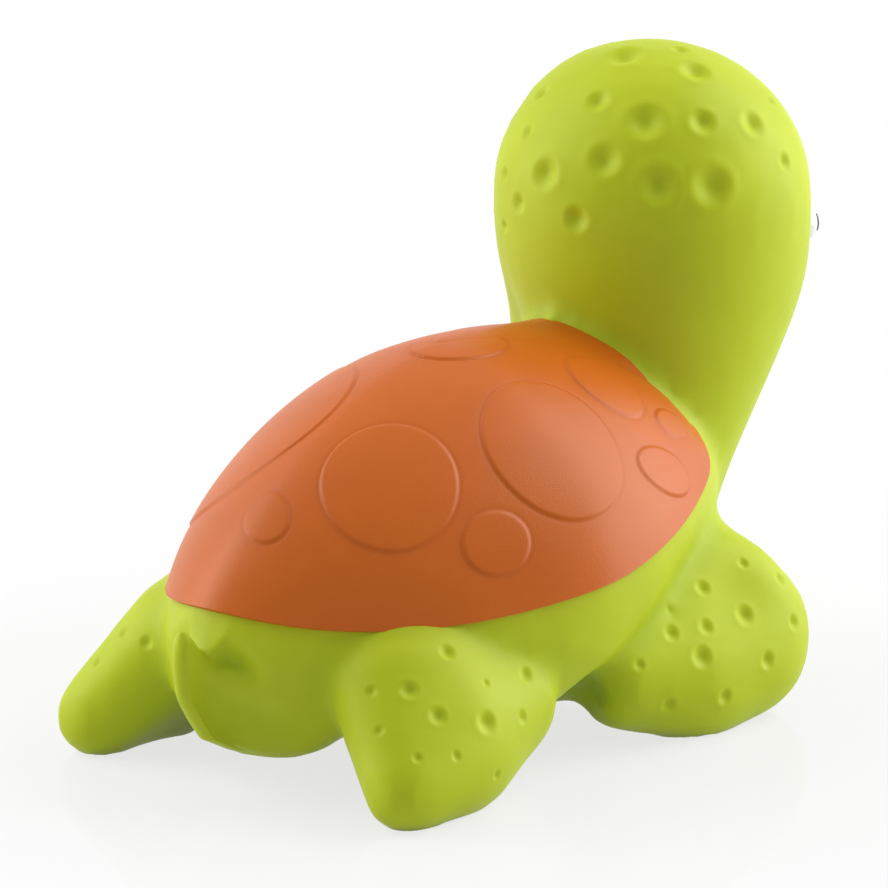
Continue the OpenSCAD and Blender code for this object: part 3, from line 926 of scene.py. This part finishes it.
def makePupil(side):
    ball = eyeSize["ball"] + eyeSize["pupilOut"]
    cut = math.sqrt(ball ** 2 - eyeSize["pupil"] ** 2)
    pupil, ahead = bisectBall(side + "Pupil", side, ball, cut)
    bpy.ops.mesh.extrude_region_move(TRANSFORM_OT_translate={"value": -ahead * eyeSize["pupilSkirt"] * mm})
    bpy.ops.mesh.select_all(action="SELECT")
    bpy.ops.mesh.normals_make_consistent(inside=False)
    return finishCap(pupil, side + "_pupil")


# dark and light patches with their size and that of the grain in mm, the range of roughness,
# the gloss, and for the rubbers the colour of the painted shade in the hollows
finishes = {
    "greenRubber": {
        "dark": (0.46, 0.55, 0.008), "light": (0.51, 0.605, 0.012), "hollowShade": (0.26, 0.38, 0.003),
        "patch": 14, "grain": 0.5, "grainDepth": 0.012, "smooth": 0.46, "rough": 0.56, "gloss": 0.26,
    },
    "orangeRubber": {
        "dark": (0.56, 0.115, 0.004), "light": (0.62, 0.13, 0.006), "hollowShade": (0.34, 0.05, 0.002),
        "patch": 16, "grain": 0.24, "grainDepth": 0.028, "smooth": 0.34, "rough": 0.44, "gloss": 0.28,
    },
    "eyeWhite": {
        "dark": (0.84, 0.84, 0.83), "light": (0.88, 0.88, 0.87),
        "patch": 4, "grain": 0.4, "grainDepth": 0.004, "smooth": 0.12, "rough": 0.18, "gloss": 0.5,
    },
    "pupilBlack": {
        "dark": (0.008, 0.008, 0.009), "light": (0.014, 0.014, 0.016),
        "patch": 3, "grain": 0.4, "grainDepth": 0.004, "smooth": 0.1, "rough": 0.16, "gloss": 0.5,
    },
    "squeakerPlastic": {
        "dark": (0.74, 0.74, 0.7), "light": (0.8, 0.8, 0.77),
        "patch": 5, "grain": 0.3, "grainDepth": 0.01, "smooth": 0.34, "rough": 0.45, "gloss": 0.5,
    },
    "reedFilm": {
        "dark": (0.5, 0.57, 0.6), "light": (0.57, 0.63, 0.66),
        "patch": 2, "grain": 0.2, "grainDepth": 0.004, "smooth": 0.24, "rough": 0.34, "gloss": 0.5,
    },
}
patchDetail, grainDetail = 3, 2
rampStart, rampEnd = 0.3, 0.7


def newMaterial(name, base, roughness, gloss):
    material = bpy.data.materials.new(name)
    material.use_nodes = True
    shader = material.node_tree.nodes["Principled BSDF"]
    shader.inputs["Base Color"].default_value = (*base, 1)
    shader.inputs["Roughness"].default_value = roughness
    shader.inputs["Specular IOR Level"].default_value = gloss
    return material, material.node_tree.nodes, material.node_tree.links, shader


def noiseNode(nodes, links, place, size, detail):
    noise = nodes.new("ShaderNodeTexNoise")
    noise.inputs["Scale"].default_value = 1 / (size * mm)
    noise.inputs["Detail"].default_value = detail
    links.new(place.outputs["Object"], noise.inputs["Vector"])
    return noise.outputs["Fac"]


def rampNode(nodes, links, source, low, high):
    ramp = nodes.new("ShaderNodeValToRGB")
    ramp.color_ramp.elements[0].position = rampStart
    ramp.color_ramp.elements[1].position = rampEnd
    ramp.color_ramp.elements[0].color = (*low, 1)
    ramp.color_ramp.elements[1].color = (*high, 1)
    links.new(source, ramp.inputs["Fac"])
    return ramp.outputs["Color"]


def bumpNode(nodes, links, source, distance):
    bump = nodes.new("ShaderNodeBump")
    bump.inputs["Distance"].default_value = distance * mm
    bump.inputs["Strength"].default_value = 1
    links.new(source, bump.inputs["Height"])
    return bump.outputs["Normal"]


# the colour, darkened with painted shade where markHollows found a hollow
def paintShadeInHollows(nodes, links, colour, hollowShade):
    hollow = nodes.new("ShaderNodeAttribute")
    hollow.attribute_name = "hollow"
    tint = nodes.new("ShaderNodeMix")
    tint.data_type = "RGBA"
    tint.inputs[7].default_value = (*hollowShade, 1)  # the colour sockets are A at 6 and B at 7
    links.new(hollow.outputs["Fac"], tint.inputs[0])
    links.new(colour, tint.inputs[6])
    return tint.outputs[2]


def mouldedMaterial(name):
    finish = finishes[name]
    smooth, rough = finish["smooth"], finish["rough"]
    material, nodes, links, shader = newMaterial(name, finish["light"], rough, finish["gloss"])
    place = nodes.new("ShaderNodeTexCoord")
    cloud = noiseNode(nodes, links, place, finish["patch"], patchDetail)
    colour = rampNode(nodes, links, cloud, finish["dark"], finish["light"])
    # painted shade: hollows and creases get a darker colour, standing in for the shade that falls there
    if "hollowShade" in finish:
        colour = paintShadeInHollows(nodes, links, colour, finish["hollowShade"])
    links.new(colour, shader.inputs["Base Color"])
    grain = noiseNode(nodes, links, place, finish["grain"], grainDetail)
    links.new(rampNode(nodes, links, grain, (smooth,) * 3, (rough,) * 3), shader.inputs["Roughness"])
    links.new(bumpNode(nodes, links, grain, finish["grainDepth"]), shader.inputs["Normal"])
    return material


def setMaterial(obj, material):
    obj.data.materials.clear()
    obj.data.materials.append(material)


skin = makeSkin()
shell = makeShell()
eyes = [makeEye(side) for side in ("left", "right")]
pupils = [makePupil(side) for side in ("left", "right")]
print("eyes made")

materials = {name: mouldedMaterial(name) for name in finishes}
setMaterial(skin, materials["greenRubber"])
setMaterial(shell, materials["orangeRubber"])
for eye, pupil in zip(eyes, pupils):
    setMaterial(eye, materials["eyeWhite"])
    setMaterial(pupil, materials["pupilBlack"])
for node in ("squeaker_case", "squeaker_lid", "reed_block", "reed_clamp"):
    setMaterial(frame["nodes"][node], materials["squeakerPlastic"])
setMaterial(frame["nodes"]["reed"], materials["reedFilm"])
print("materials set")

# distances in metres; a lamp's place is to the right of the object, behind it and above it
stage = {
    "azimuth": 220.8, "elevation": 13.74, "distance": 0.9,
    "lens": 271.5, "sensor": 36, "clip": (0.01, 20),
    "target": spot(0, 7.16, 39.16),
    "leftBox": (-0.47, 0.08, 0.22), "leftPower": 2.9,
    "rightBox": (0.43, 0.13, 0.2), "rightPower": 3.4,
    "boxSize": (0.42, 0.75),
    "topBox": (0, 0.1, 0.62), "topPower": 0.3, "topSize": (0.6, 0.6),
    "fill": 0.38,
    "floorSize": 8, "floorTone": 0.74, "floorRough": 0.07, "floorGloss": 0.4,
    "whiteStart": 0.05, "whiteEnd": 0.14,  # the floor fades to white over this distance
    "whiteNear": 0.74,
}


def makeCamera():
    around, up = math.radians(stage["azimuth"]), math.radians(stage["elevation"])
    back = Vector((math.sin(around) * math.cos(up), -math.cos(around) * math.cos(up), math.sin(up)))
    camera = bpy.data.objects.new("camera", bpy.data.cameras.new("camera"))
    bpy.context.scene.collection.objects.link(camera)
    camera.data.lens = stage["lens"]
    camera.data.sensor_width = stage["sensor"]
    camera.data.clip_start, camera.data.clip_end = stage["clip"]
    camera.location = stage["target"] + back * stage["distance"]
    camera.rotation_mode = "QUATERNION"
    camera.rotation_quaternion = (-back).to_track_quat("-Z", "Y")
    bpy.context.scene.camera = camera
    return back


def makeLamp(name, place, size, power):
    lamp = bpy.data.objects.new(name, bpy.data.lights.new(name, "AREA"))
    bpy.context.scene.collection.objects.link(lamp)
    lamp.data.shape = "RECTANGLE"
    lamp.data.size, lamp.data.size_y = size
    lamp.data.energy = power
    lamp.location = place
    lamp.rotation_mode = "QUATERNION"
    lamp.rotation_quaternion = (stage["target"] - place).to_track_quat("-Z", "Y")


def makeLamps(back):
    right = Vector((0, 0, 1)).cross(back).normalized()
    ahead = Vector((0, 0, 1)).cross(right).normalized()
    for side, size in (("left", "boxSize"), ("right", "boxSize"), ("top", "topSize")):
        aside, behind, above = stage[side + "Box"]
        place = stage["target"] + right * aside + ahead * behind + Vector((0, 0, above))
        makeLamp(side + "Box", place, stage[size], stage[side + "Power"])


# 1 for what the camera, a reflection or a clear piece shows, and 0 for the light that falls on things
def seenDirectly(nodes, links):
    path = nodes.new("ShaderNodeLightPath")
    total = path.outputs["Is Camera Ray"]
    for name in ("Is Glossy Ray", "Is Transmission Ray"):
        larger = nodes.new("ShaderNodeMath")
        larger.operation = "MAXIMUM"
        links.new(total, larger.inputs[0])
        links.new(path.outputs[name], larger.inputs[1])
        total = larger.outputs["Value"]
    return total


# glossy and shaded near the object, and plain white further away
def floorMaterial():
    tone = (stage["floorTone"],) * 3
    material, nodes, links, shader = newMaterial("floor", tone, stage["floorRough"], stage["floorGloss"])
    place = nodes.new("ShaderNodeTexCoord")
    far = nodes.new("ShaderNodeVectorMath")
    far.operation = "LENGTH"
    links.new(place.outputs["Object"], far.inputs[0])
    fade = nodes.new("ShaderNodeMapRange")
    fade.interpolation_type = "SMOOTHSTEP"
    for name, value in (("From Min", "whiteStart"), ("From Max", "whiteEnd"), ("To Min", "whiteNear")):
        fade.inputs[name].default_value = stage[value]
    links.new(far.outputs["Value"], fade.inputs["Value"])
    only = nodes.new("ShaderNodeMath")
    only.operation = "MULTIPLY"
    links.new(seenDirectly(nodes, links), only.inputs[0])
    links.new(fade.outputs["Result"], only.inputs[1])
    white = nodes.new("ShaderNodeEmission")
    mix = nodes.new("ShaderNodeMixShader")
    links.new(only.outputs["Value"], mix.inputs["Fac"])
    links.new(shader.outputs["BSDF"], mix.inputs[1])
    links.new(white.outputs["Emission"], mix.inputs[2])
    links.new(mix.outputs["Shader"], nodes["Material Output"].inputs["Surface"])
    return material


def makeFloor():
    bpy.ops.object.select_all(action="DESELECT")
    bpy.ops.mesh.primitive_plane_add(size=stage["floorSize"])
    floor = bpy.context.object
    floor.name = "floor"
    setMaterial(floor, floorMaterial())


# white where it is seen, and dimmer as light
def makeWorld():
    world = bpy.data.worlds.new("studio")
    world.use_nodes = True
    bpy.context.scene.world = world
    nodes, links = world.node_tree.nodes, world.node_tree.links
    level = nodes.new("ShaderNodeMapRange")
    level.inputs["To Min"].default_value = stage["fill"]
    links.new(seenDirectly(nodes, links), level.inputs["Value"])
    links.new(level.outputs["Result"], nodes["Background"].inputs["Strength"])
    nodes["Background"].inputs["Color"].default_value = (1, 1, 1, 1)


makeLamps(makeCamera())
makeFloor()
makeWorld()
bpy.context.scene.view_settings.view_transform = "Standard"
print("stage set")
